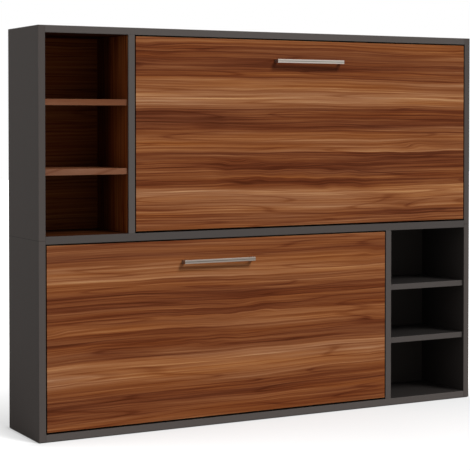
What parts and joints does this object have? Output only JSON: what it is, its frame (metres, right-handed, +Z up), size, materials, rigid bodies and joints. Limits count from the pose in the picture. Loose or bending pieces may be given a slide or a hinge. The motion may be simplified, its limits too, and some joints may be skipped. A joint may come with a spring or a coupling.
{
  "type": "wall bunk bed",
  "caption": "Horizontal wall bunk bed: a shallow dark cabinet with walnut fold-down bed fronts one above the other, bar handles, and open shelf niches beside them.",
  "frame": {"origin": "middle of the whole footprint, on the floor under the cabinet", "axes": "+Z up, +X along the wall to the right as seen from the front, -Y is the front where the beds fold out, +Y is towards the wall"},
  "size_m": [2.545, 0.452, 2],
  "materials": {
    "anthracite_board": "anthracite melamine board, fine matt texture",
    "walnut_board": "dark walnut decor with grain, satin",
    "walnut_front": "walnut decor with long horizontal grain, satin",
    "satin_handle": "satin brushed bar",
    "frame_grey": "powder coat, satin",
    "zinc_fasteners": "zinc plated, dull",
    "strut_black": "black lacquer, semi-gloss",
    "strut_chrome": "hard chrome, polished",
    "beech_slats": "bent beech ply, clear lacquer",
    "black_plastic": "moulded, matt",
    "mattress_cover": "quilted knitted cover",
    "webbing": "woven flat webbing"
  },
  "bodies": {
    "cabinet": {"bottom_board": "anthracite_board", "floor_glides": "black_plastic", "lower_bed_back": "anthracite_board", "lower_bed_pivot_brackets": "zinc_fasteners", "lower_bed_stops": "black_plastic", "lower_bed_strut_anchors": "zinc_fasteners", "lower_divider": "anthracite_board", "lower_niche_back": "anthracite_board", "lower_niche_shelf_1": "anthracite_board", "lower_niche_shelf_2": "anthracite_board", "middle_board": "anthracite_board", "side_left_lower": "anthracite_board", "side_left_upper": "anthracite_board", "side_right_lower": "anthracite_board", "side_right_upper": "anthracite_board", "top_board": "anthracite_board", "upper_bed_back": "anthracite_board", "upper_bed_pivot_brackets": "zinc_fasteners", "upper_bed_stops": "black_plastic", "upper_bed_strut_anchors": "zinc_fasteners", "upper_divider": "anthracite_board", "upper_niche_back": "walnut_board", "upper_niche_lining": "walnut_board", "upper_niche_shelf_1": "walnut_board", "upper_niche_shelf_2": "walnut_board", "wall_rails": "anthracite_board"},
    "upper_bed": {"upper_bed_frame_end_rails": "frame_grey", "upper_bed_frame_long_rails": "frame_grey", "upper_bed_front_panel": "walnut_front", "upper_bed_guard_pins": "zinc_fasteners", "upper_bed_guard_posts": "frame_grey", "upper_bed_handle_bar": "satin_handle", "upper_bed_handle_posts": "satin_handle", "upper_bed_hub_plates": "zinc_fasteners", "upper_bed_mattress": "mattress_cover", "upper_bed_mattress_straps": "webbing", "upper_bed_pivot_bolts": "zinc_fasteners", "upper_bed_slat_holders": "black_plastic", "upper_bed_slats": "beech_slats"},
    "lower_bed": {"lower_bed_frame_end_rails": "frame_grey", "lower_bed_frame_long_rails": "frame_grey", "lower_bed_front_panel": "walnut_front", "lower_bed_handle_bar": "satin_handle", "lower_bed_handle_posts": "satin_handle", "lower_bed_hub_plates": "zinc_fasteners", "lower_bed_mattress": "mattress_cover", "lower_bed_mattress_straps": "webbing", "lower_bed_pivot_bolts": "zinc_fasteners", "lower_bed_slat_holders": "black_plastic", "lower_bed_slats": "beech_slats"},
    "upper_bed_strut_cylinders": {"upper_bed_strut_cylinders": "strut_black"},
    "upper_bed_strut_rods": {"upper_bed_strut_rods": "strut_chrome"},
    "lower_bed_strut_cylinders": {"lower_bed_strut_cylinders": "strut_black"},
    "lower_bed_strut_rods": {"lower_bed_strut_rods": "strut_chrome"},
    "guard_rail": {"upper_bed_guard_bars": "frame_grey", "upper_bed_guard_bow": "frame_grey"}
  },
  "joints": [
    {"name": "upper_bed_fold", "type": "hinge", "parent": "cabinet", "child": "upper_bed", "pos_m": [0, -0.149, 1.209], "axis": [1, 0, 0], "range_deg": [0, 90]},
    {"name": "upper_bed_strut_swing", "type": "hinge", "parent": "cabinet", "child": "upper_bed_strut_cylinders", "pos_m": [0, 0.171, 1.509], "axis": [1, 0, 0], "range_deg": [0, 0.969]},
    {"name": "upper_bed_strut_slide", "type": "slide", "parent": "upper_bed_strut_cylinders", "child": "upper_bed_strut_rods", "axis": [0, 0.615, 0.7885], "range_m": [0, 0.14179]},
    {"name": "lower_bed_fold", "type": "hinge", "parent": "cabinet", "child": "lower_bed", "pos_m": [0, -0.149, 0.258], "axis": [1, 0, 0], "range_deg": [0, 90]},
    {"name": "lower_bed_strut_swing", "type": "hinge", "parent": "cabinet", "child": "lower_bed_strut_cylinders", "pos_m": [0, 0.171, 0.558], "axis": [1, 0, 0], "range_deg": [0, 0.969]},
    {"name": "lower_bed_strut_slide", "type": "slide", "parent": "lower_bed_strut_cylinders", "child": "lower_bed_strut_rods", "axis": [0, 0.615, 0.7885], "range_m": [0, 0.14179]},
    {"name": "guard_rail_raise", "type": "hinge", "parent": "upper_bed", "child": "guard_rail", "pos_m": [0, 0.0623, 1.9067], "axis": [1, 0, 0], "range_deg": [0, 90]}
  ],
  "couplings": [
    {"joint": "upper_bed_strut_swing", "follows": "upper_bed_fold", "ratio": 0.010655},
    {"joint": "upper_bed_strut_slide", "follows": "upper_bed_fold", "m_per_rad": 0.090203},
    {"joint": "lower_bed_strut_swing", "follows": "lower_bed_fold", "ratio": 0.010655},
    {"joint": "lower_bed_strut_slide", "follows": "lower_bed_fold", "m_per_rad": 0.090203},
    {"joint": "guard_rail_raise", "follows": "upper_bed_fold", "ratio": 1}
  ]
}
